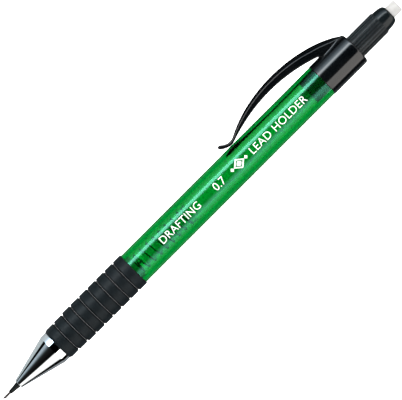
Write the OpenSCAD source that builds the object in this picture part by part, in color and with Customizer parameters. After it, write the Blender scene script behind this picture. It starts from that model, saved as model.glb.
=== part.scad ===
// Automatic pencil with a transparent barrel, a ringed rubber grip and a twist-out eraser.
// Millimetres. The pencil lies along X with its point towards -X, the clip on the +Y side and +Z up.
// Every "_x" value below is a station: a distance along the axis from the point of the lead.

/* [Lead] */
// Lead diameter
lead_d = 0.7; // [0.5:0.1:0.7]
// Length of the lead in the clutch
lead_len = 52.2; // [48:0.1:60]
// Length of the slanted writing facet
lead_bevel = 0.7; // [0.3:0.1:1]

/* [Point] */
// Station where the nose sleeve starts
sleeve_x = 2.65; // [2:0.05:3]
// Radius of the nose sleeve's front end
sleeve_front_r = 0.52; // [0.45:0.01:0.6]
// Radius of the nose sleeve where it enters the cone
sleeve_r = 0.88; // [0.75:0.01:0.9]
// Station of the cone's front face
cone_x = 5.83; // [5:0.05:6.5]
// Radius of the cone's front face
cone_front_r = 1.3; // [1.2:0.05:1.5]
// Station where the cone becomes a cylinder
cone_end_x = 18.8; // [18:0.1:19.5]
// Radius of the cone's cylinder
cone_r = 4.64; // [4.4:0.02:4.8]
// Travel of the nose sleeve into the cone
sleeve_travel = 2.5; // [1:0.1:2.5]

/* [Grip] */
// Station of the grip's front face
grip_x = 20.5; // [20:0.1:21]
// Station of the grip's rear face
grip_end_x = 49; // [48:0.1:50]
// Station of the first groove
first_groove_x = 23.72; // [23.5:0.01:24]
// Spacing of the grooves
groove_pitch = 3.18; // [3:0.01:3.2]
// Number of rings
ring_count = 9; // [5:1:9]
// Largest radius of the rings
grip_r = 5.17; // [5:0.01:5.4]
// Radii of the first two rings
front_rings_r = [4.94, 5.01]; // [4.8:0.01:5.1]
// Width of a groove
groove_w = 0.44; // [0.3:0.02:0.6]
// Depth of a groove
groove_depth = 0.4; // [0.35:0.01:0.5]
// Rounding of the rings' edges
ring_round = 0.3; // [0.1:0.05:0.3]

/* [Barrel] */
// Barrel radius
barrel_r = 4.85; // [4.8:0.01:5]
// Bore radius
bore_r = 3.5; // [3.4:0.05:3.6]
// Radius of the barrel's front end, under the grip
core_r = 4.15; // [4:0.05:4.3]
// Station of the barrel's rear face
barrel_end_x = 119.5; // [115:0.5:125]

/* [Collar and clip] */
// Collar radius
collar_r = 4.95; // [4.9:0.01:5.1]
// Collar length
collar_len = 12.4; // [12:0.1:13]
// Rounding of the collar's rear edge
collar_round = 0.8; // [0.3:0.1:0.9]
// Length of the plug inside the barrel
plug_len = 5; // [4:0.1:6]
// Clip width at the collar
clip_w = 5.2; // [4:0.1:5.4]
// Clip width at the free end
clip_tip_w = 3.3; // [2.5:0.1:4]
// Gap that lets the clip turn at its root
clip_gap = 0.05; // [0.02:0.01:0.1]

/* [Push button] */
// Radius over the flutes
knob_r = 3.42; // [3.3:0.01:3.45]
// Number of flutes
flute_count = 28; // [16:1:36]
// Station where the flutes end
flute_end_x = 141.2; // [140:0.1:142]
// Radius of the smooth end
cap_r = 3.2; // [3.1:0.01:3.3]
// Station of the button's end face
knob_end_x = 144.8; // [144:0.1:146]
// Travel of the push button
push_travel = 3.5; // [2:0.1:3.5]

/* [Eraser] */
// Eraser radius
eraser_r = 1.83; // [1.7:0.01:1.9]
// Station of the eraser's end face
eraser_end_x = 147.9; // [146:0.1:149]
// Advance of the eraser for one turn of the button
eraser_pitch = 6; // [5:0.5:7]

/* [Springs] */
// Wire diameter of the return spring
return_wire = 0.46; // [0.4:0.02:0.5]
// Outer radius of the return spring
return_r = 2.75; // [2.7:0.05:2.9]
// Wire diameter of the small springs
small_wire = 0.2; // [0.15:0.01:0.22]

/* [Hidden] */

round_fn = 96;
small_fn = 48;
slip = 0.05;        // radial clearance of a sliding fit
snug = 0.015;       // radial clearance around the lead where it is gripped
face_gap = 0.02;    // gap between pieces that seat against each other
edge = 0.12;        // chamfer of an outer edge

lead_r = lead_d / 2;
lead_bore_r = lead_r + snug;

// A holder grips the rings of full radius, and the origin is on the axis at the middle of them.
full_rings_x = first_groove_x + (len(front_rings_r) - 1) * groove_pitch + groove_w / 2 + ring_round;
full_rings_end_x = grip_end_x - ring_round;
origin_x = (full_rings_x + full_rings_end_x) / 2;

// Nose sleeve, the cone around it and the seat of its spring
sleeve_round = 0.12;
cone_bore_r = sleeve_r + 0.07;
flange_x = 9.5;
flange_w = 1.1;
flange_r = 1.75;
cone_cavity_r = flange_r + slip;
retainer_x = 10.3;
retainer_len = 1.5;
retainer_r = 1;
sleeve_tail_r = 1.4;
sleeve_tail_x = 12.7;
seat_x = 15.5;
seat_w = 0.8;
seat_hole_r = 0.75;
spigot_r = bore_r - face_gap;
spigot_end_x = 27.5;

// Clutch: the jaws' head is drawn back into the ring, whose taper closes them on the lead
head_cavity_r = 2.15;
ring_stop_x = 21.3;
ring_cavity_r = 2.5;
ring_x = 22.2;
ring_len = 2.2;
ring_r = ring_cavity_r - slip;
ring_mouth_r = 1.74;
ring_throat_r = 1.3;
taper = (ring_mouth_r - ring_throat_r) / ring_len;
chuck_x = 21;
chuck_head_r = 1.78;
chuck_taper_x = ring_x - (chuck_head_r + face_gap - ring_mouth_r) / taper;
chuck_neck_r = ring_throat_r - face_gap;
shank_r = 1.15;
jaw_grip_len = 4.5;
jaw_end_x = 30;
jaw_slit = 0.25;
chuck_bore_r = 0.55;
chuck_flange_x = 41.6;
chuck_flange_r = 1.6;
chuck_end_x = 42.6;
housing_x = ring_x + ring_len + face_gap;
housing_front_bore_r = 1.35;
housing_bore_x = 33.5;
housing_bore_r = 2.35;
housing_end_x = 50.2;

// Coupler between the chuck and the lead tube, and the tube with its spring shoulder and its stop
coupler_x = 38;
coupler_r = 2.28;
coupler_wall = 1;
coupler_pocket_r = chuck_flange_r + 0.08;
coupler_hole_r = 0.6;
coupler_step_x = 45;
coupler_end_x = 49;
tube_r = 1.95;
tube_bore_r = 1.45;
coupler_spigot_r = tube_bore_r - face_gap;
tube_x = coupler_step_x;
tube_end_x = 121.4;
shoulder_x = 69.2;
shoulder_w = 1;
shoulder_r = 2.8;
stop_x = 113.2;
stop_r = 2.6;

// Collar and its plug
plug_x = barrel_end_x - plug_len;
plug_floor_x = 118;
plug_bore_r = tube_r + 0.1;
collar_end_x = barrel_end_x + collar_len;
collar_bore_r = knob_r + slip;

// Curves of the clip, as [station, height]: the arch's two faces and the foot's two faces
arch_out = [[92.3, 6.2], [105.3, 13.1], [124, 10.7], [131.9, 4.4]];
arch_in = [[91.9, 5.15], [102.5, 8.7], [113.2, 8.75], [123.8, 5]];
foot_out = [[88.1, 7.05], [89.6, 5.75], [90.8, 5.55], [92.3, 6.2]];
foot_in = [[91.9, 5.15], [90.7, 4.72], [89.3, 4.75], [87.4, 6.3]];
foot_tip = (foot_out[0] + foot_in[3]) / 2;
foot_tip_r = norm(foot_out[0] - foot_in[3]) / 2;
foot_tip_angle = atan2(foot_out[0][1] - foot_in[3][1], foot_out[0][0] - foot_in[3][0]);
clip_root_x = 123.4;
clip_crotch_y = 5.14;
clip_sink_y = 4;
clip_reach = 24;
clip_tip_x = 87;
clip_tip_round = 1.1;

// Eraser unit: the button, the spiral core that it turns on, and the holder that the two drive
knob_x = 122.5;
knob_bore_r = 2.7;
knob_lip_x = 143.9;
knob_mouth_r = eraser_r + 0.12;
flute_depth = 0.14;
flute_cut_r = 0.22;
flute_stop = 0.5;
core_out_r = knob_bore_r - slip;
core_in_r = 2.2;
core_plug_x = 112;
core_plug_r = tube_bore_r - 0.01;
core_tube_x = tube_end_x + 0.2;
core_floor_x = 127.4;
core_end_x = 143.6;
snap_x = 124;
snap_w = 0.8;
snap_r = 2.95;
holder_x = 131;
holder_len = 4.6;
holder_floor = 0.8;
holder_r = core_in_r - slip;
peg_x = 133;
peg_r = 0.45;
peg_end_r = 3;
peg_back = 3;
peg_out = 8;
key_w = 2 * peg_r + 0.14;
key_r = peg_end_r + 0.06;
slot_turn = 360 / eraser_pitch;
slot_w = 1.25;
slot_half = slot_w / 2 * slot_turn;
slot_spare = peg_r + 0.15;
slot_x = peg_x - peg_back - slot_spare;
slot_len = peg_back + peg_out + 2 * slot_spare;
key_end_x = peg_x + peg_out + slot_spare;
eraser_round = 0.35;

// Springs
spring_sides = 8;
steps_per_turn = 20;
return_turns = 9;
return_end_turns = 0.6;
return_phase = 45;

function arc(c, r, a0, a1, n) = [for (i = [0:n]) let (a = a0 + (a1 - a0) * i / n) c + r * [cos(a), sin(a)]];
function bezier(p, n) = [for (i = [0:n]) let (t = i / n, s = 1 - t)
  s * s * s * p[0] + 3 * s * s * t * p[1] + 3 * s * t * t * p[2] + t * t * t * p[3]];
function reversed(list) = [for (i = [len(list) - 1:-1:0]) list[i]];

// Stations are drawn from the point of the lead, and this brings the origin to the grip.
module from_origin() {
  translate([-origin_x, 0, 0]) children();
}

// A solid of revolution about the axis, from an outline of [radius, station] points
module turned(outline, fn = round_fn) {
  rotate([0, 90, 0]) rotate_extrude($fn = fn) polygon(outline);
}

// A round bar along the axis between two stations
module bar(x0, x1, r, fn = round_fn) {
  translate([x0, 0, 0]) rotate([0, 90, 0]) cylinder(h = x1 - x0, r = r, $fn = fn);
}

// A round wire wound about the axis between two stations. Its end turns lie close together.
function coil_x(u, x0, x1, wire, turns, closed) =
  let (tight = wire * 1.04,
       loose = (x1 - x0 - wire - 2 * closed * tight) / (turns - 2 * closed),
       ends = min(u, closed) + max(u - turns + closed, 0))
  x0 + wire / 2 + ends * tight + (u - ends) * loose;
module coil(x0, x1, outer_r, wire, turns, closed) {
  n = ceil(turns * steps_per_turn);
  rings = [for (i = [0:n]) let (u = turns * i / n, x = coil_x(u, x0, x1, wire, turns, closed))
    for (k = [0:spring_sides - 1])
      let (a = 360 * k / spring_sides, r = outer_r - wire / 2 * (1 - cos(a)))
        [x + wire / 2 * sin(a), r * cos(360 * u), r * sin(360 * u)]];
  sides = [for (i = [0:n - 1]) for (k = [0:spring_sides - 1])
    let (a = i * spring_sides, b = a + spring_sides, m = (k + 1) % spring_sides)
      [a + m, a + k, b + k, b + m]];
  ends = [[for (k = [0:spring_sides - 1]) k], [for (k = [spring_sides - 1:-1:0]) n * spring_sides + k]];
  polyhedron(points = rings, faces = concat(sides, ends), convexity = 10);
}

// ---- point ----

module lead() color([0.3, 0.29, 0.28]) from_origin() difference() {
  bar(0, lead_len, lead_r, small_fn);
  // the slanted facet that writing wears on the point
  linear_extrude(lead_d * 2, center = true)
    polygon([[0, lead_r], [lead_bevel * 1.5, -lead_d], [-1, -lead_d], [-1, lead_r]]);
}

module nose_sleeve() color([0.1, 0.1, 0.11]) from_origin() turned(concat(
  [[lead_bore_r, sleeve_x]],
  arc([sleeve_front_r - sleeve_round, sleeve_x + sleeve_round], sleeve_round, -90, 0, 4),
  [
    [sleeve_r, cone_x + 0.2], [sleeve_r, flange_x],
    [flange_r, flange_x], [flange_r, flange_x + flange_w],
    [sleeve_tail_r, flange_x + flange_w], [sleeve_tail_r, sleeve_tail_x],
    [retainer_r, sleeve_tail_x], [retainer_r, retainer_x], [lead_bore_r, retainer_x],
  ]), small_fn);

module lead_retainer() color([0.35, 0.14, 0.1]) from_origin() difference() {
  bar(retainer_x, retainer_x + retainer_len, retainer_r, small_fn);
  bar(retainer_x - 1, retainer_x + retainer_len + 1, lead_bore_r, small_fn);
}

module sleeve_spring() color("silver") from_origin()
  coil(flange_x + flange_w + face_gap, seat_x - face_gap, flange_r, small_wire, 8, 1);

module spring_seat() color("tan") from_origin() difference() {
  bar(seat_x, seat_x + seat_w, head_cavity_r, small_fn);
  bar(seat_x - 1, seat_x + seat_w + 1, seat_hole_r, small_fn);
}

module tip_cone() color([0.82, 0.84, 0.86]) from_origin() turned([
  [cone_bore_r, cone_x], [cone_front_r - edge, cone_x], [cone_front_r, cone_x + edge],
  [cone_r, cone_end_x], [cone_r, grip_x],
  [spigot_r, grip_x], [spigot_r, spigot_end_x],
  [ring_cavity_r, spigot_end_x], [ring_cavity_r, ring_stop_x],
  [head_cavity_r, ring_stop_x], [head_cavity_r, seat_x],
  [cone_cavity_r, seat_x], [cone_cavity_r, flange_x], [cone_bore_r, flange_x],
]);

// ---- clutch ----

module chuck() color([0.78, 0.6, 0.28]) from_origin() difference() {
  turned([
    [lead_bore_r, chuck_x], [chuck_head_r - 0.3, chuck_x], [chuck_head_r, chuck_x + 0.3],
    [chuck_head_r, chuck_taper_x], [chuck_neck_r, ring_x + ring_len],
    [shank_r, ring_x + ring_len + 0.2], [shank_r, chuck_flange_x],
    [chuck_flange_r, chuck_flange_x], [chuck_flange_r, chuck_end_x],
    [chuck_bore_r, chuck_end_x], [chuck_bore_r, chuck_x + jaw_grip_len], [lead_bore_r, chuck_x + jaw_grip_len],
  ], small_fn);
  for (i = [0:2])
    rotate([120 * i, 0, 0]) translate([chuck_x - 1, 0, -jaw_slit / 2])
      cube([jaw_end_x - chuck_x + 1, chuck_head_r + 1, jaw_slit]);
}

module chuck_ring() color([0.7, 0.7, 0.72]) from_origin() turned([
  [ring_mouth_r, ring_x], [ring_r - edge, ring_x], [ring_r, ring_x + edge],
  [ring_r, ring_x + ring_len - edge], [ring_r - edge, ring_x + ring_len], [ring_throat_r, ring_x + ring_len],
], small_fn);

module chuck_spring() color("silver") from_origin()
  coil(coupler_x + coupler_wall + face_gap, chuck_flange_x - face_gap, chuck_flange_r, small_wire, 5, 1);

module chuck_coupler() color([0.78, 0.6, 0.28]) from_origin() turned([
  [shank_r + slip, coupler_x], [coupler_r - edge, coupler_x], [coupler_r, coupler_x + edge],
  [coupler_r, coupler_step_x], [coupler_spigot_r, coupler_step_x], [coupler_spigot_r, coupler_end_x],
  [coupler_spigot_r - 0.3, coupler_end_x], [coupler_hole_r, coupler_step_x],
  [coupler_hole_r, chuck_end_x + face_gap], [coupler_pocket_r, chuck_end_x + face_gap],
  [coupler_pocket_r, coupler_x + coupler_wall], [shank_r + slip, coupler_x + coupler_wall],
], small_fn);

module chuck_housing() color([0.12, 0.12, 0.13]) from_origin() turned([
  [housing_front_bore_r, housing_x], [ring_r, housing_x], [ring_r, spigot_end_x],
  [spigot_r, spigot_end_x], [spigot_r, housing_end_x],
  [housing_bore_r, housing_end_x], [housing_bore_r, housing_bore_x], [housing_front_bore_r, housing_bore_x],
]);

// ---- grip and barrel ----

function ring_front_x(i) = i == 0 ? grip_x : first_groove_x + (i - 1) * groove_pitch + groove_w / 2;
function ring_rear_x(i) = i == ring_count - 1 ? grip_end_x : first_groove_x + i * groove_pitch - groove_w / 2;
function ring_radius(i) = i < len(front_rings_r) ? front_rings_r[i] : grip_r;

module grip() color([0.13, 0.15, 0.16]) from_origin() turned(concat(
  [[core_r + face_gap, grip_x]],
  [for (i = [0:ring_count - 1]) let (r = ring_radius(i), a = ring_front_x(i), b = ring_rear_x(i))
    each concat(
      i == 0 ? [] : [[ring_radius(i - 1) - groove_depth, a]],
      arc([r - ring_round, a + ring_round], ring_round, -90, 0, 4),
      arc([r - ring_round, b - ring_round], ring_round, 0, 90, 4),
      i == ring_count - 1 ? [] : [[r - groove_depth, b]])],
  [[core_r + face_gap, grip_end_x]]));

module barrel() color([0.02, 0.55, 0.22, 0.5]) from_origin() turned([
  [bore_r, grip_x], [core_r, grip_x], [core_r, grip_end_x],
  [barrel_r, grip_end_x], [barrel_r, barrel_end_x], [bore_r, barrel_end_x],
]);

module return_spring() color([0.75, 0.76, 0.78]) from_origin() rotate([return_phase, 0, 0])
  coil(housing_end_x + face_gap, shoulder_x - face_gap, return_r, return_wire, return_turns, return_end_turns);

module lead_tube() color([0.85, 0.9, 0.9, 0.35]) from_origin() turned([
  [tube_bore_r, tube_x], [tube_r, tube_x], [tube_r, shoulder_x],
  [shoulder_r, shoulder_x], [shoulder_r, shoulder_x + shoulder_w], [tube_r, shoulder_x + shoulder_w],
  [tube_r, stop_x], [stop_r, stop_x], [stop_r, plug_x - face_gap], [tube_r, plug_x - face_gap],
  [tube_r, tube_end_x], [tube_bore_r, tube_end_x],
]);

// ---- collar and clip ----

// The clip seen from the side, from its turned-up foot to where it sinks into the collar
module clip_side() polygon(concat(
  bezier(foot_out, 8), bezier(arch_out, 28),
  [[arch_out[3][0], clip_sink_y], [clip_root_x, clip_sink_y], [clip_root_x, clip_crotch_y]],
  reversed([for (p = bezier(arch_in, 24)) if (p[0] < clip_root_x) p]),
  bezier(foot_in, 8),
  arc(foot_tip, foot_tip_r, foot_tip_angle + 180, foot_tip_angle, 10)));

// The clip seen from above: widest at its root, and narrower towards both ends
module clip_plan() {
  half = concat(
    arc([clip_tip_x + clip_tip_round, clip_tip_w / 2 - clip_tip_round], clip_tip_round, 180, 90, 6),
    bezier([[clip_root_x, clip_w / 2], [128.4, clip_w / 2], [131.2, 1.6], [132, 0.3]], 10));
  polygon(concat(half, [for (p = reversed(half)) [p[0], -p[1]]]));
}

// The part of the clip between two stations
module clip_solid(x0, x1) intersection() {
  linear_extrude(clip_w + 1, center = true) clip_side();
  rotate([90, 0, 0]) linear_extrude(clip_reach, center = true) clip_plan();
  translate([x0, 0, -clip_w]) cube([x1 - x0, clip_reach / 2, 2 * clip_w]);
}

module clip_collar() color([0.1, 0.11, 0.12]) from_origin() {
  turned(concat(
    [[plug_bore_r, plug_x], [spigot_r, plug_x], [spigot_r, barrel_end_x],
     [collar_r - edge, barrel_end_x], [collar_r, barrel_end_x + edge]],
    arc([collar_r - collar_round, collar_end_x - collar_round], collar_round, 0, 90, 8),
    [[collar_bore_r, collar_end_x], [collar_bore_r, plug_floor_x], [plug_bore_r, plug_floor_x]]));
  clip_solid(clip_root_x, collar_end_x);
}

module clip_arm() color([0.1, 0.11, 0.12]) from_origin()
  clip_solid(clip_tip_x - 1, clip_root_x - clip_gap);

// ---- push button and eraser ----

module spiral_core() color([0.85, 0.85, 0.82]) from_origin() difference() {
  turned([
    [0, core_plug_x], [core_plug_r - edge, core_plug_x], [core_plug_r, core_plug_x + edge],
    [core_plug_r, core_tube_x], [core_out_r, core_tube_x], [core_out_r, snap_x],
    [snap_r, snap_x], [snap_r, snap_x + snap_w], [core_out_r, snap_x + snap_w],
    [core_out_r, core_end_x], [core_in_r, core_end_x], [core_in_r, core_floor_x], [0, core_floor_x],
  ], small_fn);
  // the spiral slot, as wide as the peg that runs in it
  rotate([0, 90, 0]) rotate([0, 0, (slot_x - peg_x) * slot_turn]) translate([0, 0, slot_x])
    linear_extrude(slot_len, twist = -slot_len * slot_turn, slices = ceil(slot_len * slot_turn / 12))
      polygon(concat(arc([0, 0], core_out_r + 1, -slot_half, slot_half, 4),
                     arc([0, 0], core_in_r - 0.3, slot_half, -slot_half, 4)));
}

module twist_knob() color([0.1, 0.11, 0.12]) from_origin() difference() {
  turned(concat(
    [[knob_bore_r, knob_x], [knob_r - edge, knob_x], [knob_r, knob_x + edge],
     [knob_r, flute_end_x - edge], [knob_r - edge, flute_end_x], [cap_r, flute_end_x]],
    bezier([[cap_r, flute_end_x], [cap_r - 0.1, flute_end_x + 1.8],
            [cap_r - 0.25, knob_end_x - 0.3], [cap_r - 1, knob_end_x]], 10),
    [[knob_mouth_r, knob_end_x], [knob_mouth_r, knob_lip_x], [knob_bore_r, knob_lip_x],
     [knob_bore_r, snap_x + snap_w + slip], [snap_r + slip, snap_x + snap_w + slip],
     [snap_r + slip, snap_x - slip], [knob_bore_r, snap_x - slip]]));
  for (i = [0:flute_count - 1])
    rotate([360 * (i + 0.5) / flute_count, 0, 0]) translate([0, 0, knob_r + flute_cut_r - flute_depth])
      bar(knob_x - 1, flute_end_x - flute_stop, flute_cut_r, 24);
  // the keyway that turns the eraser holder
  translate([knob_x - 1, -key_w / 2, -key_r]) cube([key_end_x - knob_x + 1, key_w, key_r - core_out_r]);
}

module eraser_holder() color([0.9, 0.9, 0.88]) from_origin() {
  turned([
    [0, holder_x], [holder_r, holder_x], [holder_r, holder_x + holder_len],
    [eraser_r + face_gap, holder_x + holder_len], [eraser_r + face_gap, holder_x + holder_floor],
    [0, holder_x + holder_floor],
  ], small_fn);
  translate([peg_x, 0, -peg_end_r]) cylinder(h = peg_end_r - eraser_r - 0.1, r = peg_r, $fn = small_fn);
}

module eraser() color([0.95, 0.94, 0.92]) from_origin() turned(concat(
  [[0, holder_x + holder_floor + face_gap], [eraser_r, holder_x + holder_floor + face_gap]],
  arc([eraser_r - eraser_round, eraser_end_x - eraser_round], eraser_round, 0, 90, 4),
  [[0, eraser_end_x]]));

lead();
nose_sleeve();
lead_retainer();
sleeve_spring();
tip_cone();
spring_seat();
chuck();
chuck_ring();
chuck_spring();
chuck_coupler();
chuck_housing();
grip();
barrel();
return_spring();
lead_tube();
clip_collar();
clip_arm();
spiral_core();
twist_knob();
eraser_holder();
eraser();
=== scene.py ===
"""The looks of an automatic pencil with a transparent green barrel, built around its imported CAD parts.

Lengths in this script are millimetres, and a station is a distance along the axis from the lead's point,
as in the part's own drawing. The mesh functions turn both into metres in the row frame.
"""

import math

import bmesh
import bpy
from mathutils import Matrix, Vector


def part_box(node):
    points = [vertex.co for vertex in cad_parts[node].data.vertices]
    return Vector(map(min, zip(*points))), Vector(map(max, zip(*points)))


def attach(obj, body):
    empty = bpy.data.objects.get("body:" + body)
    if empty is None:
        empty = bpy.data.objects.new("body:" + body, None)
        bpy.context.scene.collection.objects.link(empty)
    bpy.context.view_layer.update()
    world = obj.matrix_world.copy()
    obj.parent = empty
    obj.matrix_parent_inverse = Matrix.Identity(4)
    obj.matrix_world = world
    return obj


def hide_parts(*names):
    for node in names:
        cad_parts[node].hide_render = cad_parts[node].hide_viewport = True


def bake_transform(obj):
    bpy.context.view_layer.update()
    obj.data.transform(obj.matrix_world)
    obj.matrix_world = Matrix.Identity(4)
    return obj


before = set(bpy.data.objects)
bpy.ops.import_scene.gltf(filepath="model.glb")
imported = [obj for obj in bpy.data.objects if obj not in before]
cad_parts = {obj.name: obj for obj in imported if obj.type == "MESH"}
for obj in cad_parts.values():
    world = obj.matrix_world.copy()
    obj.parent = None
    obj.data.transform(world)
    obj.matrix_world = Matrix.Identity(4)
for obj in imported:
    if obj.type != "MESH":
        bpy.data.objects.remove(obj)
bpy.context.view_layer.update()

MM = 0.001
POINT_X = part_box("lead")[0].x


def place(station, y=0.0, z=0.0):
    """A point of the row frame, in metres."""
    return Vector((POINT_X + station * MM, y * MM, z * MM))


def ends(node):
    """The stations of a node's two ends."""
    low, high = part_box(node)
    return (low.x - POINT_X) / MM, (high.x - POINT_X) / MM


def radius(node):
    """The largest radius of a round node."""
    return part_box(node)[1].z / MM


# ---- sizes ----

LEAD_END = ends("lead")[1]
LEAD_R = radius("lead")
SLEEVE_START, SLEEVE_END = ends("nose_sleeve")
CONE_START, SPIGOT_END = ends("tip_cone")
CONE_R = radius("tip_cone")
GRIP_START, GRIP_END = ends("grip")
GRIP_R = radius("grip")
BARREL_END = ends("barrel")[1]
BARREL_R = radius("barrel")
BARREL_FRONT_R = 4.15
BORE_R = 3.5
TUBE_START, TUBE_END = ends("lead_tube")
PLUG_START, COLLAR_END = ends("clip_collar")
COLLAR_R = 4.95
KNOB_START, KNOB_END = ends("twist_knob")
KNOB_R = radius("twist_knob")
ERASER_START, ERASER_END = ends("eraser")
ERASER_R = radius("eraser")

GROOVE_FIRST = 23.72
GROOVE_PITCH = 3.18
GROOVE_WIDTH = 0.44
GROOVE_DEPTH = 0.4
GROOVE_COUNT = 8
FRONT_RINGS_R = [4.94, 5.01]
FLUTES = 28
FLUTES_END = 141.2


# ---- mesh tools ----

def rounded(corners, steps=5, shoulder=0.05):
    """Rounds the corners (a, b, fillet) of a closed outline. A point close to each end of an arc keeps the
    flat beside it flat when it is shaded."""
    points = []
    count = len(corners)
    for i, (a, b, fillet) in enumerate(corners):
        here = Vector((a, b))
        if fillet == 0:
            points.append(here)
            continue
        before = Vector(corners[i - 1][:2]) - here
        after = Vector(corners[(i + 1) % count][:2]) - here
        reach_limit = 0.45 * min(before.length, after.length)
        before.normalize()
        after.normalize()
        half = before.angle(after) / 2
        reach = min(fillet / math.tan(half), reach_limit)
        arc_r = reach * math.tan(half)
        centre = here + (before + after).normalized() * (arc_r / math.sin(half))
        start = here + before * reach - centre
        turn = start.angle_signed(here + after * reach - centre)
        points.append(here + before * (reach + min(shoulder, reach_limit * 0.1)))
        for k in range(steps + 1):
            swing = Matrix.Rotation(-turn * k / steps, 2)
            points.append(centre + swing @ start)
        points.append(here + after * (reach + min(shoulder, reach_limit * 0.1)))
    return points


def bezier(p, steps):
    """Points along a cubic Bezier curve."""
    points = []
    for i in range(steps + 1):
        t = i / steps
        s = 1 - t
        weights = (s * s * s, 3 * s * s * t, 3 * s * t * t, t * t * t)
        points.append(sum((w * Vector(q) for w, q in zip(weights, p)), Vector((0, 0))))
    return points


def finish_mesh(mesh, material, sharp_deg=35):
    """Turns the faces outwards, shades them smooth up to an angle and gives the mesh its material."""
    bm = bmesh.new()
    bm.from_mesh(mesh)
    bmesh.ops.recalc_face_normals(bm, faces=bm.faces)
    for face in bm.faces:
        face.smooth = True
    for edge in bm.edges:
        edge.smooth = edge.calc_face_angle(0) < math.radians(sharp_deg)
    bm.to_mesh(mesh)
    bm.free()
    mesh.materials.append(material)


def add_piece(name, vertices, faces, material):
    """A new object from vertices in the row frame."""
    mesh = bpy.data.meshes.new(name)
    mesh.from_pydata(vertices, [], faces)
    finish_mesh(mesh, material)
    piece = bpy.data.objects.new(name, mesh)
    bpy.context.scene.collection.objects.link(piece)
    return piece


def lathe(name, outline, material, segments=144, closed=True, relief=None):
    """A solid turned about the axis, from an outline of (station, radius) points. A closed outline makes a
    hollow piece, and an open one starts and ends on the axis. relief(station, radius, angle) changes the
    radius round the axis."""
    vertices = []
    rings = []
    for station, r in outline:
        if r == 0:
            rings.append([len(vertices)])
            vertices.append(place(station))
            continue
        rings.append(list(range(len(vertices), len(vertices) + segments)))
        for k in range(segments):
            angle = 2 * math.pi * k / segments
            here = relief(station, r, angle) if relief else r
            vertices.append(place(station, here * math.cos(angle), here * math.sin(angle)))
    faces = []
    pairs = list(zip(rings, rings[1:]))
    if closed:
        pairs.append((rings[-1], rings[0]))
    for one, two in pairs:
        for k in range(segments):
            after = (k + 1) % segments
            if len(one) == 1:
                faces.append((one[0], two[k], two[after]))
            elif len(two) == 1:
                faces.append((one[k], one[after], two[0]))
            else:
                faces.append((one[k], one[after], two[after], two[k]))
    return add_piece(name, vertices, faces, material)


def loft(sections):
    """Vertices and faces of a closed skin over sections of equal point count, with flat ends."""
    vertices = [point for section in sections for point in section]
    count = len(sections[0])
    faces = []
    for i in range(len(sections) - 1):
        for k in range(count):
            after = (k + 1) % count
            low, high = i * count, (i + 1) * count
            faces.append((low + k, low + after, high + after, high + k))
    faces.append(tuple(range(count)))
    faces.append(tuple(range(len(vertices) - count, len(vertices))))
    return vertices, faces


def coil(name, start, end, outer_r, wire, turns, end_turns, phase_deg):
    """A coil spring of round steel wire. Its end turns lie close together."""
    tight = wire * 1.04
    loose = (end - start - wire - 2 * end_turns * tight) / (turns - 2 * end_turns)
    middle_r = outer_r - wire / 2
    sides = 12
    steps = int(turns * 40)
    sections = []
    for i in range(steps + 1):
        u = turns * i / steps
        closed_turns = min(u, end_turns) + max(u - turns + end_turns, 0)
        station = start + wire / 2 + closed_turns * tight + (u - closed_turns) * loose
        angle = 2 * math.pi * u + math.radians(phase_deg)
        section = []
        for k in range(sides):
            around = 2 * math.pi * k / sides
            r = middle_r + wire / 2 * math.cos(around)
            section.append(place(station + wire / 2 * math.sin(around),
                                 r * math.cos(angle), r * math.sin(angle)))
        sections.append(section)
    vertices, faces = loft(sections)
    return add_piece(name, vertices, faces, STEEL)


# ---- material tools ----

def new_material(name, colour, roughness, **sockets):
    """A Principled material and its shader node. sockets are constants, with _ for a space."""
    material = bpy.data.materials.new(name)
    material.use_nodes = True
    shader = material.node_tree.nodes["Principled BSDF"]
    shader.inputs["Base Color"].default_value = (*colour, 1)
    shader.inputs["Roughness"].default_value = roughness
    for socket, value in sockets.items():
        shader.inputs[socket.replace("_", " ")].default_value = value
    return material, shader


def noise(shader, size_mm, detail=3.0, stretch=(1, 1, 1)):
    """Noise with features of about size_mm. stretch shrinks them along an axis."""
    tree = shader.id_data
    coordinates = tree.nodes.new("ShaderNodeTexCoord")
    mapping = tree.nodes.new("ShaderNodeMapping")
    mapping.inputs["Scale"].default_value = [s / (size_mm * MM) for s in stretch]
    tree.links.new(coordinates.outputs["Object"], mapping.inputs["Vector"])
    texture = tree.nodes.new("ShaderNodeTexNoise")
    texture.inputs["Scale"].default_value = 1
    texture.inputs["Detail"].default_value = detail
    tree.links.new(mapping.outputs["Vector"], texture.inputs["Vector"])
    return texture.outputs["Fac"]


def map_range(tree, source, start, end, low=0.0, high=1.0, smooth=False):
    """A source's run between two values, as a run between two others."""
    node = tree.nodes.new("ShaderNodeMapRange")
    if smooth:
        node.interpolation_type = "SMOOTHSTEP"
    node.inputs["From Min"].default_value = start
    node.inputs["From Max"].default_value = end
    node.inputs["To Min"].default_value = low
    node.inputs["To Max"].default_value = high
    tree.links.new(source, node.inputs["Value"])
    return node


def vary_roughness(shader, source, low, high):
    """Drives the roughness between two values."""
    tree = shader.id_data
    span = map_range(tree, source, 0.3, 0.7, low, high)
    tree.links.new(span.outputs["Result"], shader.inputs["Roughness"])


def vary_colour(shader, source, one, two):
    """Mixes the base colour from two colours."""
    tree = shader.id_data
    ramp = tree.nodes.new("ShaderNodeValToRGB")
    ramp.color_ramp.elements[0].position = 0.35
    ramp.color_ramp.elements[0].color = (*one, 1)
    ramp.color_ramp.elements[1].position = 0.65
    ramp.color_ramp.elements[1].color = (*two, 1)
    tree.links.new(source, ramp.inputs["Fac"])
    tree.links.new(ramp.outputs["Color"], shader.inputs["Base Color"])


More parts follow.
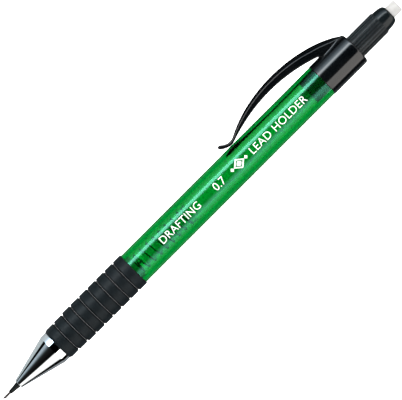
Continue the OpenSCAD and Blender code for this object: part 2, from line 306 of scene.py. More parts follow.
def add_bump(shader, source, height_mm):
    """Adds relief of a real height to the shader."""
    tree = shader.id_data
    bump = tree.nodes.new("ShaderNodeBump")
    bump.inputs["Strength"].default_value = 1.0
    bump.inputs["Distance"].default_value = height_mm * MM
    tree.links.new(source, bump.inputs["Height"])
    tree.links.new(bump.outputs["Normal"], shader.inputs["Normal"])


def grained(name, dark, light, roughness, grain_mm, relief_mm, stretch=(1, 1, 1), **sockets):
    """A solid material with colour, roughness and relief that follow one grain."""
    material, shader = new_material(name, light, roughness[0], **sockets)
    grain = noise(shader, grain_mm, stretch=stretch)
    vary_colour(shader, noise(shader, grain_mm * 6, stretch=stretch), dark, light)
    vary_roughness(shader, grain, *roughness)
    add_bump(shader, grain, relief_mm)
    return material


def clear_plastic(name, colour, roughness, ior, tint=(1, 1, 1)):
    """Clear plastic with faint moulding ripples."""
    material, shader = new_material(name, colour, roughness, Transmission_Weight=1.0, IOR=ior,
                                    Specular_Tint=(*tint, 1))
    vary_colour(shader, noise(shader, 9, stretch=(0.2, 1, 1)), [c * 0.96 for c in colour], colour)
    add_bump(shader, noise(shader, 6, detail=1, stretch=(0.15, 1, 1)), 0.0003)
    return material


def absorb(material, colour, per_mm):
    """Colours what shines through a clear material by the length of its path."""
    tree = material.node_tree
    volume = tree.nodes.new("ShaderNodeVolumeAbsorption")
    volume.inputs["Color"].default_value = (*colour, 1)
    volume.inputs["Density"].default_value = per_mm / MM
    tree.links.new(volume.outputs["Volume"], tree.nodes["Material Output"].inputs["Volume"])


# ---- materials ----

GLOSS_BLACK = grained("gloss_black", (0.001, 0.0015, 0.002), (0.002, 0.0025, 0.003), (0.10, 0.14), 0.5,
                      0.0002, Specular_IOR_Level=0.4)
KNOB_BLACK = grained("knob_black", (0.002, 0.0035, 0.0045), (0.0045, 0.007, 0.008), (0.16, 0.2), 0.5, 0.0002,
                     Specular_IOR_Level=0.19)
SATIN_BLACK = grained("satin_black", (0.002, 0.003, 0.003), (0.004, 0.005, 0.005), (0.18, 0.24), 0.25, 0.0005,
                      Specular_IOR_Level=0.25)
RUBBER = grained("grip_rubber", (0.0028, 0.0048, 0.006), (0.0045, 0.007, 0.0085), (0.36, 0.48), 0.22, 0.010,
                 Specular_IOR_Level=0.08)
# Painted shade: a darker, duller rubber on the groove walls, in place of the shade that falls in the grooves.
GROOVE_PAINTED_SHADE = grained("groove_painted_shade", (0.0015, 0.002, 0.002), (0.003, 0.0035, 0.004), (0.6, 0.7), 0.22,
                      0.002, Specular_IOR_Level=0.02)
# Painted highlight: a light line along the middle of each groove floor, in place of the light that the
# groove's edge catches.
GROOVE_PAINTED_HIGHLIGHT = grained("groove_painted_highlight", (0.10, 0.105, 0.11), (0.15, 0.155, 0.16), (0.7, 0.8), 0.3, 0.002)
CHROME = grained("chrome_plate", (0.66, 0.68, 0.70), (0.74, 0.76, 0.78), (0.03, 0.07), 0.5, 0.0003,
                 stretch=(6, 1, 1), Metallic=1.0)
STEEL = grained("spring_steel", (0.05, 0.053, 0.056), (0.09, 0.094, 0.098), (0.10, 0.18), 0.3, 0.0005,
                Metallic=1.0)
RING_STEEL = grained("turned_steel", (0.50, 0.50, 0.52), (0.62, 0.62, 0.64), (0.2, 0.3), 0.3, 0.001,
                     stretch=(8, 1, 1), Metallic=1.0)
BRASS = grained("turned_brass", (0.60, 0.42, 0.16), (0.74, 0.55, 0.24), (0.18, 0.30), 0.3, 0.001,
                stretch=(8, 1, 1), Metallic=1.0)
GRAPHITE = grained("graphite", (0.034, 0.029, 0.027), (0.056, 0.049, 0.046), (0.35, 0.45), 0.12, 0.001,
                   stretch=(0.3, 1, 1), Specular_IOR_Level=0.15)
NATURAL = grained("natural_plastic", (0.62, 0.61, 0.57), (0.72, 0.71, 0.67), (0.35, 0.5), 0.6, 0.002,
                  Subsurface_Weight=0.2, Subsurface_Scale=0.001)
SEAT = grained("seat_plastic", (0.42, 0.34, 0.22), (0.52, 0.43, 0.29), (0.35, 0.5), 0.4, 0.002)
RETAINER = grained("retainer_rubber", (0.14, 0.04, 0.025), (0.20, 0.07, 0.04), (0.6, 0.75), 0.15, 0.004)
VINYL = grained("eraser_vinyl", (0.365, 0.36, 0.35), (0.415, 0.41, 0.4), (0.7, 0.85), 0.3, 0.006,
                Specular_IOR_Level=0.1)
INK = grained("white_ink", (0.80, 0.80, 0.79), (0.90, 0.90, 0.89), (0.4, 0.55), 0.08, 0.002)
GREEN = clear_plastic("barrel_green", (0.006, 0.79, 0.32), 0.045, ior=1.58, tint=(0.26, 1.0, 0.74))
absorb(GREEN, (0.0, 0.50, 0.165), 1.0)
CLEAR = clear_plastic("tube_clear", (0.93, 0.97, 0.96), 0.5, ior=1.35)
CLEAR_POLISHED = clear_plastic("tube_clear_polished", (0.95, 0.98, 0.97), 0.02, ior=1.04)


# ---- point ----

def make_lead():
    """The lead, with the slanted facet that writing wears on it."""
    outline = [(-0.5, 0), (-0.5, LEAD_R), (LEAD_END, LEAD_R), (LEAD_END, 0)]
    piece = lathe("lead_stick", outline, GRAPHITE, segments=48, closed=False)
    bm = bmesh.new()
    bm.from_mesh(piece.data)
    cut = bmesh.ops.bisect_plane(bm, geom=bm.verts[:] + bm.edges[:] + bm.faces[:], dist=1e-8,
                                 plane_co=place(LEAD_R), plane_no=Vector((-1, -1, 0)), clear_outer=True)
    rim = [e for e in cut["geom_cut"] if isinstance(e, bmesh.types.BMEdge)]
    bmesh.ops.contextual_create(bm, geom=rim)
    bm.to_mesh(piece.data)
    bm.free()
    piece.data.materials.clear()
    finish_mesh(piece.data, GRAPHITE)
    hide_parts("lead")
    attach(piece, "lead")


def make_nose_sleeve():
    """The sliding sleeve that guides the lead."""
    bore_r = LEAD_R + 0.02
    tip_r, stem_r, tail_r = 0.52, 0.88, 1.4
    flange, flange_end, flange_r = 9.5, 10.6, 1.75
    outline = rounded([
        (SLEEVE_START, bore_r, 0), (SLEEVE_START, tip_r, 0.12), (CONE_START + 0.2, stem_r, 0.2),
        (flange, stem_r, 0.1), (flange, flange_r, 0.1), (flange_end, flange_r, 0.1),
        (flange_end, tail_r, 0.1), (SLEEVE_END, tail_r, 0.1), (SLEEVE_END, bore_r, 0),
    ])
    piece = lathe("nose_sleeve_turned", outline, SATIN_BLACK, segments=96)
    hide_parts("nose_sleeve")
    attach(piece, "nose_sleeve")


def make_cone():
    """The plated cone with the spigot that holds it in the barrel."""
    shoulder, front_r = 18.8, 1.3
    spigot_r = BORE_R - 0.02
    sleeve_bore_r, spring_bore_r, seat_bore_r, clutch_bore_r = 0.95, 1.8, 2.15, 2.5
    spring_bore, seat, clutch_bore = 9.5, 15.5, 21.3
    outline = rounded([
        (CONE_START, sleeve_bore_r, 0.05), (CONE_START, front_r, 0.15), (shoulder, CONE_R, 0.25),
        (GRIP_START, CONE_R, 0), (GRIP_START, spigot_r, 0), (SPIGOT_END, spigot_r, 0.2),
        (SPIGOT_END, clutch_bore_r, 0), (clutch_bore, clutch_bore_r, 0), (clutch_bore, seat_bore_r, 0),
        (seat, seat_bore_r, 0), (seat, spring_bore_r, 0), (spring_bore, spring_bore_r, 0),
        (spring_bore, sleeve_bore_r, 0),
    ])
    piece = lathe("cone_plated", outline, CHROME, segments=192)
    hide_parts("tip_cone")
    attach(piece, "barrel")


# ---- grip and barrel ----

def make_grip():
    """The rubber grip, with painted shade in the groove between one ring and the next and a painted highlight
    line along the middle of each.
    """
    inner_r, highlight_line_half = BARREL_FRONT_R + 0.02, 0.045
    rings_r = FRONT_RINGS_R + [GRIP_R] * (GROOVE_COUNT + 1 - len(FRONT_RINGS_R))
    floors = [r - GROOVE_DEPTH for r in rings_r]
    middles = []
    corners = [(GRIP_START, inner_r, 0), (GRIP_START, FRONT_RINGS_R[0] - 0.28, 0.1)]
    for i in range(GROOVE_COUNT + 1):
        r = rings_r[i]
        front = GRIP_START + 0.6 if i == 0 else GROOVE_FIRST + (i - 1) * GROOVE_PITCH + GROOVE_WIDTH / 2
        rear = GRIP_END if i == GROOVE_COUNT else GROOVE_FIRST + i * GROOVE_PITCH - GROOVE_WIDTH / 2
        if i > 0:
            corners.append((middles[-1] + highlight_line_half, floors[i - 1], 0))
            corners.append((front, floors[i - 1], 0.1))
        corners.append((front, r, 0.8 if i == 0 else 0.3))
        corners.append((rear, r, 0.3))
        if i < GROOVE_COUNT:
            middle = GROOVE_FIRST + i * GROOVE_PITCH
            corners.append((rear, floors[i], 0.1))
            corners.append((middle - highlight_line_half, floors[i], 0))
            middles.append(middle)
    corners.append((GRIP_END, inner_r, 0))
    piece = lathe("grip_ringed", rounded(corners), RUBBER, segments=192)
    piece.data.materials.append(GROOVE_PAINTED_SHADE)
    piece.data.materials.append(GROOVE_PAINTED_HIGHLIGHT)
    # Faces at a groove's middle get the painted highlight line, and the rest of each groove gets painted
    # shade.
    for face in piece.data.polygons:
        station = (face.center.x - POINT_X) / MM
        off_middle = min(abs(station - middle) for middle in middles)
        if off_middle < 0.8 * highlight_line_half:
            face.material_index = 2
        elif off_middle < GROOVE_WIDTH / 2 + 0.06:
            face.material_index = 1
    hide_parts("grip")
    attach(piece, "barrel")


def make_barrel():
    """The transparent barrel, thinner where the grip sits on it."""
    outline = rounded([
        (GRIP_START, BORE_R, 0), (GRIP_START, BARREL_FRONT_R, 0), (GRIP_END, BARREL_FRONT_R, 0),
        (GRIP_END, BARREL_R, 0.05), (BARREL_END, BARREL_R, 0.08), (BARREL_END, BORE_R, 0.05),
    ])
    piece = lathe("barrel_clear", outline, GREEN, segments=256)
    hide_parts("barrel")
    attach(piece, "barrel")


def make_lead_tube():
    """The clear tube that holds the spare leads, with the shoulder that the return spring pushes on. It is
    polished at its two ends and satin between them."""
    tube_r, tube_bore_r, shoulder_r, stop_r = 1.95, 1.45, 2.8, 2.6
    window_end, shoulder, shoulder_end = 53.0, 69.2, 70.2
    stop, stop_end = 113.2, PLUG_START - 0.02
    outline = rounded([
        (window_end, tube_bore_r, 0), (TUBE_START, tube_bore_r, 0), (TUBE_START, tube_r, 0),
        (window_end, tube_r, 0), (shoulder, tube_r, 0), (shoulder, shoulder_r, 0.1),
        (shoulder_end, shoulder_r, 0.1), (shoulder_end, tube_r, 0), (stop, tube_r, 0),
        (stop, stop_r, 0.1), (stop_end, stop_r, 0.1), (stop_end, tube_r, 0), (TUBE_END, tube_r, 0),
        (TUBE_END, tube_bore_r, 0),
    ])
    piece = lathe("lead_tube_clear", outline, CLEAR, segments=96)
    piece.data.materials.append(CLEAR_POLISHED)
    for face in piece.data.polygons:
        station = (face.center.x - POINT_X) / MM
        if station < window_end or station > stop - 1:
            face.material_index = 1
    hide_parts("lead_tube")
    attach(piece, "push_unit")


def make_springs():
    """The three coil springs, each between the two bodies that squeeze it."""
    flange_face, seat_face = 10.62, 15.48
    sleeve = coil("sleeve_spring_wire", flange_face, seat_face, outer_r=1.75, wire=0.2, turns=8,
                  end_turns=1, phase_deg=0)
    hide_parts("sleeve_spring")
    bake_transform(sleeve)
    clutch_start, clutch_end = ends("chuck_spring")
    clutch = coil("chuck_spring_wire", clutch_start, clutch_end, outer_r=1.6, wire=0.2, turns=5,
                  end_turns=1, phase_deg=0)
    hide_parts("chuck_spring")
    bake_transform(clutch)
    back_start, back_end = ends("return_spring")
    back = coil("return_spring_wire", back_start, back_end, outer_r=2.75, wire=0.46, turns=9,
                end_turns=0.6, phase_deg=45)
    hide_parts("return_spring")
    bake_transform(back)


# ---- collar and clip ----

def make_collar():
    """The collar and the plug that holds it in the barrel."""
    floor = 118
    inner_r, plug_r, tube_hole_r = KNOB_R + 0.05, BORE_R - 0.02, 2.05
    outline = rounded([
        (PLUG_START, tube_hole_r, 0), (PLUG_START, plug_r, 0.25), (BARREL_END, plug_r, 0),
        (BARREL_END, COLLAR_R, 0.12), (COLLAR_END, COLLAR_R, 0.8), (COLLAR_END, inner_r, 0.1),
        (floor, inner_r, 0), (floor, tube_hole_r, 0),
    ], steps=8)
    piece = lathe("collar_moulded", outline, GLOSS_BLACK, segments=192)
    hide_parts("clip_collar")
    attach(piece, "barrel")


CLIP_ARCH_OUT = [(92.3, 6.2), (105.3, 13.1), (124, 10.7), (131.9, 4.4)]
CLIP_ARCH_IN = [(91.9, 5.12), (102.5, 8.7), (113.2, 8.75), (123.8, 5)]
CLIP_FOOT_OUT = [(88.1, 7.05), (89.6, 5.75), (90.8, 5.55), (92.3, 6.2)]
CLIP_FOOT_IN = [(87.4, 6.3), (89.3, 4.7), (90.7, 4.66), (91.9, 5.12)]
CLIP_PLAN_ROOT = [(123.4, 2.6), (128.4, 2.6), (131.2, 1.6), (132, 0.3)]
CLIP_BEVEL = [
    (87, 0.15), (92, 0.35), (98, 0.63), (108, 0.85), (117, 1.1), (123, 1.35), (128, 1.2), (132, 0.4),
]
CLIP_SINK = 4.0
CLIP_TIP = 87.25
CLIP_ROOT = 123.4


def height_on(curve, station):
    """The height of a curve of (station, height) points at a station."""
    for one, two in zip(curve, curve[1:]):
        if station <= two[0]:
            t = (station - one[0]) / (two[0] - one[0])
            return one[1] + (two[1] - one[1]) * max(0.0, min(1.0, t))
    return curve[-1][1]


def clip_half_width(station):
    """Half the clip's width in plan: a rounded tip, a slow taper and a root that runs out on the collar."""
    tip_r, tip_half, root_half = 1.1, 1.65, 2.6
    straight = CLIP_TIP + tip_r
    if station < straight:
        return tip_half - tip_r + math.sqrt(max(0, tip_r ** 2 - (straight - station) ** 2))
    if station < CLIP_ROOT:
        return tip_half + (root_half - tip_half) * (station - straight) / (CLIP_ROOT - straight)
    return height_on(bezier(CLIP_PLAN_ROOT, 24), station)


def clip_section(station, top_curve, bottom_curve):
    """The clip's outline across a station: a bevel on each side of a narrow crown."""
    tip_round_r, tip_round_len, bulge_len = 0.45, 0.55, 1.5
    sink_lead, sink_run = 0.3, 1.1
    half = clip_half_width(station)
    tip_rise = max(0.0, 1 - (station - CLIP_TIP) / tip_round_len)
    bulge = 0.1 * max(0.0, 1 - (station - CLIP_TIP) / bulge_len)
    tip_round = tip_round_r * (1 - math.sqrt(max(0.0, 1 - tip_rise ** 2))) - bulge
    top = height_on(top_curve, station) - tip_round
    bottom = height_on(bottom_curve, station) + tip_round
    if station > CLIP_ROOT - sink_lead:
        sink = min(1.0, (station - CLIP_ROOT + sink_lead) / sink_run)
        bottom += (CLIP_SINK - bottom) * sink * sink * (3 - 2 * sink)
    bevel = min(height_on(CLIP_BEVEL, station), 0.6 * (top - bottom))
    run = min(1.2 * bevel, half - 0.15)
    corners = [
        (-half, bottom, 0.2), (half, bottom, 0.2), (half, top - bevel, 0.32),
        (half - run, top, 0.5), (run - half, top, 0.5), (-half, top - bevel, 0.32),
    ]
    return [place(station, height, across) for across, height in rounded(corners, steps=4, shoulder=0.03)]


def make_clip():
    """The clip, from its turned-up foot to where its root runs out on the collar."""
    top_curve = bezier(CLIP_FOOT_OUT, 12) + bezier(CLIP_ARCH_OUT, 48)[1:]
    bottom_curve = bezier(CLIP_FOOT_IN, 12) + bezier(CLIP_ARCH_IN, 40)[1:]
    tip_len, tip_steps, body_steps = 1.2, 10, 150
    stations = [CLIP_TIP + tip_len * (i / tip_steps) ** 2 for i in range(tip_steps)]
    body_start, body_end = CLIP_TIP + tip_len, CLIP_ARCH_OUT[3][0]
    stations += [body_start + (body_end - body_start) * i / body_steps for i in range(body_steps + 1)]
    vertices, faces = loft([clip_section(s, top_curve, bottom_curve) for s in stations])
    piece = add_piece("clip_moulded", vertices, faces, GLOSS_BLACK)
    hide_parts("clip_arm")
    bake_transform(piece)


def make_root_fillets():
    """The concave fillet on each side of the clip's root, where its flank meets the collar."""
    start, end = CLIP_ROOT + 0.8, 130.6
    thin_r, full_r = 0.05, 0.55
    growing_len, fading_len = 0.8, 1.6
    steps, arc_steps = 40, 8
    for name, hand in (("clip_fillet_left", 1), ("clip_fillet_right", -1)):
        sections = []
        for i in range(steps + 1):
            station = start + (end - start) * i / steps
            fillet_r = thin_r + full_r * min(1.0, (station - start) / growing_len,
                                             (end - station) / fading_len)
            flank = clip_half_width(station)
            across = flank + fillet_r
            height = math.sqrt((COLLAR_R + fillet_r) ** 2 - across ** 2)
            turn = math.atan2(height, across)
            section = []
            for k in range(arc_steps + 1):
                angle = turn * k / arc_steps
                section.append(place(station, height - fillet_r * math.sin(angle),
                                     hand * (across - fillet_r * math.cos(angle))))
            foot = math.sqrt(COLLAR_R ** 2 - flank ** 2)
            section.append(place(station, foot - 0.15, hand * (flank - 0.1)))
            sections.append(section)
        vertices, faces = loft(sections)
        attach(add_piece(name, vertices, faces, GLOSS_BLACK), "barrel")


# ---- push button and eraser ----

def flute_relief(station, r, angle):
    """Cuts the flutes of the push button, up to its smooth end."""
    cut_r, depth = 0.28, 0.19
    if station > FLUTES_END or r < KNOB_R - 0.15:
        return r
    pitch = 2 * math.pi / FLUTES
    across = (angle / pitch % 1 - 0.5) * pitch * KNOB_R
    cut = math.sqrt(max(0.0, cut_r ** 2 - across ** 2)) - (cut_r - depth)
    return r - max(0.0, cut)


def make_knob():
    """The push button: a fluted barrel with a smooth, narrower end."""
    bore_r, cap_r, mouth_r = 2.7, 3.17, ERASER_R + 0.12
    lip = KNOB_END - 0.9
    segments_per_flute = 14
    body = rounded([
        (KNOB_START, bore_r, 0), (KNOB_START, KNOB_R, 0.12), (FLUTES_END, KNOB_R, 0.08),
        (FLUTES_END, cap_r, 0),
    ])
    cap = bezier([(FLUTES_END, cap_r), (FLUTES_END + 1.8, cap_r - 0.08),
                  (KNOB_END - 0.3, cap_r - 0.22), (KNOB_END, cap_r - 1)], 20)
    inside = [(KNOB_END, mouth_r), (lip, mouth_r), (lip, bore_r)]
    outline = [(p[0], p[1]) for p in body[:-1] + cap] + inside
    piece = lathe("push_button_fluted", outline, KNOB_BLACK,
                  segments=FLUTES * segments_per_flute, relief=flute_relief)
    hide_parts("twist_knob")
    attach(piece, "push_button")


def make_eraser():
    """The eraser, with the soft edge of one that has been used a little."""
    corners = rounded([(ERASER_START, -1, 0), (ERASER_START, ERASER_R, 0.05), (ERASER_END, ERASER_R, 0.35),
                       (ERASER_END, -1, 0)], steps=8)
    side = [(p[0], p[1]) for p in corners if p[1] > 0]
    outline = [(ERASER_START, 0)] + side + [(ERASER_END, ERASER_R * 0.5), (ERASER_END, 0)]

    def worn(station, r, angle):
        """Small dents towards the end."""
        near_end = max(0.0, 1 - (ERASER_END - station) / 1.2)
        return r * (1 - 0.006 * near_end * (1 + math.sin(3 * angle + 1) + 0.6 * math.sin(7 * angle)))

    piece = lathe("eraser_stick", outline, VINYL, segments=96, closed=False, relief=worn)
    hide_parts("eraser")
    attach(piece, "eraser")


# ---- print on the barrel ----

PRINT_LIFT = 0.004
PRINT_THICKNESS = 0.016


def wrap_on_barrel(name, bm):
    """Bends a flat print, drawn in millimetres with its top towards the clip, round the barrel."""
    cut_pitch = 0.2
    geometry = bm.verts[:] + bm.edges[:] + bm.faces[:]
    low = min(v.co.y for v in bm.verts)
    high = max(v.co.y for v in bm.verts)
    cuts = int((high - low) / cut_pitch)
    for i in range(1, cuts):
        height = low + (high - low) * i / cuts
        bmesh.ops.bisect_plane(bm, geom=geometry, dist=1e-6, plane_co=(0, height, 0), plane_no=(0, 1, 0))
        geometry = bm.verts[:] + bm.edges[:] + bm.faces[:]
    middle = (low + high) / 2
    for v in bm.verts:
        angle = (v.co.y - middle) / BARREL_R
        r = BARREL_R + PRINT_LIFT + (PRINT_THICKNESS if v.co.z > 0 else 0)
        v.co = place(v.co.x, r * math.sin(angle), r * math.cos(angle))
    mesh = bpy.data.meshes.new(name)
    bm.to_mesh(mesh)
    bm.free()
    finish_mesh(mesh, INK)
    piece = bpy.data.objects.new(name, mesh)
    bpy.context.scene.collection.objects.link(piece)
    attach(piece, "barrel")


def print_words(name, words, start, end, height, spacing=1.0):
    """Words in thin letters between two stations, reading towards the eraser."""
    letters = bpy.data.curves.new(name, "FONT")
    letters.body = words
    letters.space_character = spacing
    letters.offset = -0.008
    letters.extrude = 0.1
    letters.resolution_u = 5
    holder = bpy.data.objects.new(name, letters)
    bpy.context.scene.collection.objects.link(holder)
    bpy.context.view_layer.update()
    flat = bpy.data.meshes.new_from_object(holder.evaluated_get(bpy.context.evaluated_depsgraph_get()))
    bpy.data.objects.remove(holder)
    bm = bmesh.new()
    bm.from_mesh(flat)
    bmesh.ops.remove_doubles(bm, verts=bm.verts, dist=1e-5)
    left = min(v.co.x for v in bm.verts)
    right = max(v.co.x for v in bm.verts)
    low = min(v.co.y for v in bm.verts)
    high = max(v.co.y for v in bm.verts)
    for v in bm.verts:
        v.co.x = start + (v.co.x - left) / (right - left) * (end - start)
        v.co.y = (v.co.y - low) / (high - low) * height
    wrap_on_barrel(name, bm)


def print_emblem(name, start, end, height):
    """A plain mark: a solid lozenge inside a lozenge-shaped frame, with a small one on each side."""
    middle = (start + end) / 2
    half = (end - start) / 2
    bm = bmesh.new()

    def lozenge(x, reach, rise, hole=0.0):
        """A lozenge, or a frame if it has a hole."""
        for side in range(4):
            angles = [math.pi / 2 * side, math.pi / 2 * (side + 1)]
            outer = [(x + reach * math.cos(a), rise * math.sin(a)) for a in angles]
            inner = [(x + reach * hole * math.cos(a), rise * hole * math.sin(a)) for a in reversed(angles)]
            ring = outer + (inner if hole else [(x, 0)])
            top, base = ([bm.verts.new((px, py, z)) for px, py in ring] for z in (0.1, -0.1))
            count = len(ring)
            bm.faces.new(top)
            bm.faces.new(list(reversed(base)))
            for k in range(count):
                after = (k + 1) % count
                bm.faces.new((top[k], base[k], base[after], top[after]))

    lozenge(middle, half * 0.62, height / 2, hole=0.72)
    lozenge(middle, half * 0.30, height / 2 * 0.48)
    for side in (-1, 1):
        lozenge(middle + side * half * 0.82, half * 0.18, height / 2 * 0.36)
    bmesh.ops.remove_doubles(bm, verts=bm.verts, dist=1e-4)
    wrap_on_barrel(name, bm)


def make_print():
    """The print on the barrel: generic words, the lead size and a plain mark."""
    print_words("print_use", "DRAFTING", start=59.3, end=73.4, height=2.1, spacing=1.05)
    print_words("print_size", "0.7", start=79.1, end=82.7, height=2.2)
    print_emblem("print_emblem", start=85.3, end=91.4, height=3.2)
    print_words("print_kind", "LEAD HOLDER", start=92.8, end=113.0, height=2.1, spacing=1.05)


# ---- CAD parts that stay ----

def finish_cad_parts():
    """Gives the parts that show only when the pencil comes apart their own materials."""
    finishes = {
        "lead_retainer": RETAINER, "spring_seat": SEAT, "chuck": BRASS, "chuck_coupler": BRASS,
        "chuck_ring": RING_STEEL, "chuck_housing": NATURAL, "spiral_core": NATURAL,
        "eraser_holder": NATURAL,
    }
    for node, material in finishes.items():
        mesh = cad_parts[node].data
        mesh.materials.clear()
        mesh.materials.append(material)


# ---- studio ----

TENT_R = 95
TENT_REACH_DEG = 118
LIGHT_REACH_DEG = 90
TENT_STATIONS = (-220, 290)
TENT_GLOW = 14.0
TENT_ROWS = 59
FLOOR_DROP = 60
FLOOR_GLOW = 0.9
CAMERA_HEIGHT = 780
CAMERA_STATION = 74.47
CAMERA_SIDE = 0.29
CAMERA_TURN_DEG = -45
FOCAL_LENGTH = 263.6


def grey(value):
    """A neutral colour."""
    return (value, value, value)


BLACK = grey(0.0)
# Light round the axis, as (degrees from straight up, positive on the clip's side, colour).
TENT_FRONT = [
    (-118, (0.008, 0.010, 0.011)), (-116, BLACK), (-90, BLACK), (-86, (0.100, 0.100, 0.096)),
    (-31, (0.115, 0.115, 0.110)), (-25, BLACK), (21, (0.001, 0.001, 0.001)), (32, (0.003, 0.004, 0.004)),
    (43, (0.016, 0.019, 0.021)), (54, (0.034, 0.041, 0.045)), (69, (0.038, 0.045, 0.049)), (71, BLACK),
    (93, BLACK), (96, (0.044, 0.050, 0.051)), (118, (0.044, 0.050, 0.050)),
]
TENT_SHOULDER = [
    (-90, BLACK), (-88, (0.230, 0.220, 0.210)), (-31, (0.260, 0.250, 0.240)), (-29, BLACK), (29, BLACK),
    (34, (0.250, 0.310, 0.360)), (39, (0.900, 0.970, 1.000)), (46, (0.900, 0.970, 1.000)),
    (52, (0.300, 0.370, 0.430)), (72, (0.070, 0.090, 0.105)), (88, (0.050, 0.056, 0.058)),
    (118, (0.045, 0.050, 0.052)),
]
TENT_BARREL = [
    (-90, BLACK), (-78, grey(0.05)), (-66, grey(0.12)), (-55, grey(0.19)), (-47, grey(0.28)),
    (-42, grey(0.28)), (-34, grey(0.2)), (-27, grey(0.1)), (-23, grey(0.05)), (-18, BLACK), (19, BLACK),
    (25, grey(0.05)), (29, grey(0.1)), (36, grey(0.88)), (49, grey(0.88)), (54, grey(0.15)), (70, grey(0.07)),
    (86, grey(0.02)), (90, BLACK),
]
TENT_REAR = [
    (-90, BLACK), (-88, (0.230, 0.220, 0.210)), (-31, (0.260, 0.250, 0.240)), (-29, BLACK), (29, BLACK),
    (34, (0.220, 0.270, 0.310)), (39, (0.760, 0.830, 0.860)), (46, (0.760, 0.830, 0.860)),
    (52, (0.270, 0.330, 0.380)), (72, (0.070, 0.090, 0.105)), (88, (0.030, 0.036, 0.042)), (91, BLACK),
]
TENT_LIGHT = [(-90, BLACK), (-80, grey(0.12)), (80, grey(0.19)), (90, BLACK)]
# The stations over which one ramp of light gives way to the next.
TENT_CHANGES = [(-12, -2), (32, 46), (119, 126)]
BELOW_COLOUR = (0.92, 0.98, 1.0)
BELOW_GLOW = 0.24
BELOW_GLOW_FRONT = 0.34
BELOW_GLOW_FRONT_CLIP = 0.68


def glow_ramp(tree, source, stops, reach_deg):
    """A colour ramp over a tent's angle, which runs from minus its reach to plus its reach."""
    ramp = tree.nodes.new("ShaderNodeValToRGB")
    elements = ramp.color_ramp.elements
    while len(elements) < len(stops):
        elements.new(1.0)
    for element, (degrees, colour) in zip(elements, stops):
        element.position = (degrees + reach_deg) / (2 * reach_deg)
        element.color = (*colour, 1)
    tree.links.new(source, ramp.inputs["Fac"])
    return ramp.outputs["Color"]


def glowing_arc(name, start_deg, end_deg, arc_r):
    """A sheet of light bent round the pencil. Returns its object, its axes and its emission node."""
    material = bpy.data.materials.new(name)
    material.use_nodes = True
    tree = material.node_tree
    tree.nodes.clear()
    coordinates = tree.nodes.new("ShaderNodeTexCoord")
    axes = tree.nodes.new("ShaderNodeSeparateXYZ")
    tree.links.new(coordinates.outputs["Object"], axes.inputs["Vector"])
    glow = tree.nodes.new("ShaderNodeEmission")
    output = tree.nodes.new("ShaderNodeOutputMaterial")
    tree.links.new(glow.outputs["Emission"], output.inputs["Surface"])
    vertices = []
    for station in TENT_STATIONS:
        for i in range(TENT_ROWS + 1):
            angle = math.radians(start_deg + (end_deg - start_deg) * i / TENT_ROWS)
            vertices.append(place(station, arc_r * math.sin(angle), arc_r * math.cos(angle)))
    faces = [(i, i + 1, TENT_ROWS + 2 + i, TENT_ROWS + 1 + i) for i in range(TENT_ROWS)]
    mesh = bpy.data.meshes.new(name)
    mesh.from_pydata(vertices, [], faces)
    mesh.materials.append(material)
    arc = bpy.data.objects.new(name, mesh)
    bpy.context.scene.collection.objects.link(arc)
    arc.visible_camera = False
    return arc, axes, glow


def reflections_only(arc):
    """Hides a sheet of light from everything but reflections."""
    arc.visible_diffuse = False
    arc.visible_transmission = False
    arc.visible_shadow = False


def make_tent(name, reach_deg, arc_r, ramps, changes):
    """A light tent over the pencil, with a ramp of light round the axis for each stretch of it."""
    tent, axes, glow = glowing_arc(name, -reach_deg, reach_deg, arc_r)
    tree = glow.id_data
    turn = tree.nodes.new("ShaderNodeMath")
    turn.operation = "ARCTAN2"
    tree.links.new(axes.outputs["Y"], turn.inputs[0])
    tree.links.new(axes.outputs["Z"], turn.inputs[1])
    reach = math.radians(reach_deg)
    share = map_range(tree, turn.outputs["Value"], -reach, reach).outputs["Result"]
    colour = glow_ramp(tree, share, ramps[0], reach_deg)
    for ramp, (start, end) in zip(ramps[1:], changes):
        along = map_range(tree, axes.outputs["X"], place(start).x, place(end).x, smooth=True)
        mix = tree.nodes.new("ShaderNodeMix")
        mix.data_type = "RGBA"
        tree.links.new(along.outputs["Result"], mix.inputs["Factor"])
        tree.links.new(colour, mix.inputs[6])
        tree.links.new(glow_ramp(tree, share, ramp, reach_deg), mix.inputs[7])
        colour = mix.outputs[2]
    glow.inputs["Strength"].default_value = TENT_GLOW
    tree.links.new(colour, glow.inputs["Color"])
    return tent


def make_tent_below():
    """What reflections see below the pencil: dim, but lighter in front, where the cone's edges look."""
    below, axes, glow = glowing_arc("tent_below", TENT_REACH_DEG, 360 - TENT_REACH_DEG, TENT_R)
    tree = glow.id_data
    half = TENT_R * MM / 9
    side = map_range(tree, axes.outputs["Y"], -half, half, BELOW_GLOW_FRONT, BELOW_GLOW_FRONT_CLIP)
    strength = map_range(tree, axes.outputs["X"], place(12).x, place(20).x, high=BELOW_GLOW)
    tree.links.new(side.outputs["Result"], strength.inputs["To Min"])
    tree.links.new(strength.outputs["Result"], glow.inputs["Strength"])
    glow.inputs["Color"].default_value = (*BELOW_COLOUR, 1)
    reflections_only(below)


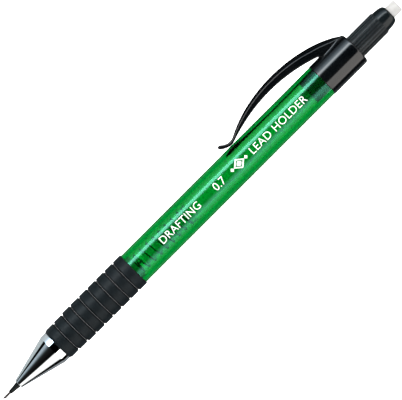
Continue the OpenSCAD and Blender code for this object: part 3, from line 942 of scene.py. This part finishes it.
def make_tents():
    """The tent that lights the pencil, and the two sheets of light that show only in reflections."""
    light = make_tent("light_tent", LIGHT_REACH_DEG, TENT_R + 1, [TENT_LIGHT], [])
    light.visible_glossy = False
    mirror_ramps = [TENT_FRONT, TENT_SHOULDER, TENT_BARREL, TENT_REAR]
    reflections_only(make_tent("mirror_tent", TENT_REACH_DEG, TENT_R, mirror_ramps, TENT_CHANGES))
    make_tent_below()


def make_floor():
    """A pale, softly glowing table below the pencil, and a pale surround."""
    material, shader = new_material("pale_table", (0.86, 0.86, 0.86), 0.8)
    shader.inputs["Emission Color"].default_value = (1, 1, 1, 1)
    shader.inputs["Emission Strength"].default_value = FLOOR_GLOW
    half = 3.0  # metres, like the corners below
    drop = -FLOOR_DROP * MM
    mesh = bpy.data.meshes.new("table")
    mesh.from_pydata([(-half, -half, drop), (half, -half, drop), (half, half, drop), (-half, half, drop)],
                     [], [(0, 1, 2, 3)])
    mesh.materials.append(material)
    table = bpy.data.objects.new("table", mesh)
    bpy.context.scene.collection.objects.link(table)
    table.visible_glossy = False
    world = bpy.data.worlds.new("pale_room")
    world.use_nodes = True
    world.node_tree.nodes["Background"].inputs["Color"].default_value = (1, 1, 1, 1)
    world.node_tree.nodes["Background"].inputs["Strength"].default_value = 1.0
    bpy.context.scene.world = world


def make_camera():
    """A long lens straight above the pencil, turned so that the pencil lies on the picture's diagonal."""
    lens = bpy.data.cameras.new("camera")
    lens.sensor_width = 36
    lens.lens = FOCAL_LENGTH
    lens.clip_end = 20
    camera = bpy.data.objects.new("camera", lens)
    camera.location = place(CAMERA_STATION, CAMERA_SIDE, CAMERA_HEIGHT)
    camera.rotation_euler = (0, 0, math.radians(CAMERA_TURN_DEG))
    bpy.context.scene.collection.objects.link(camera)
    bpy.context.scene.camera = camera
    settings = bpy.context.scene.view_settings
    settings.view_transform = "Standard"
    settings.look = "None"
    settings.exposure = 0
    settings.gamma = 1


make_lead()
make_nose_sleeve()
make_cone()
make_grip()
make_barrel()
make_lead_tube()
make_springs()
make_collar()
make_clip()
make_root_fillets()
make_knob()
make_eraser()
make_print()
finish_cad_parts()
make_tents()
make_floor()
make_camera()
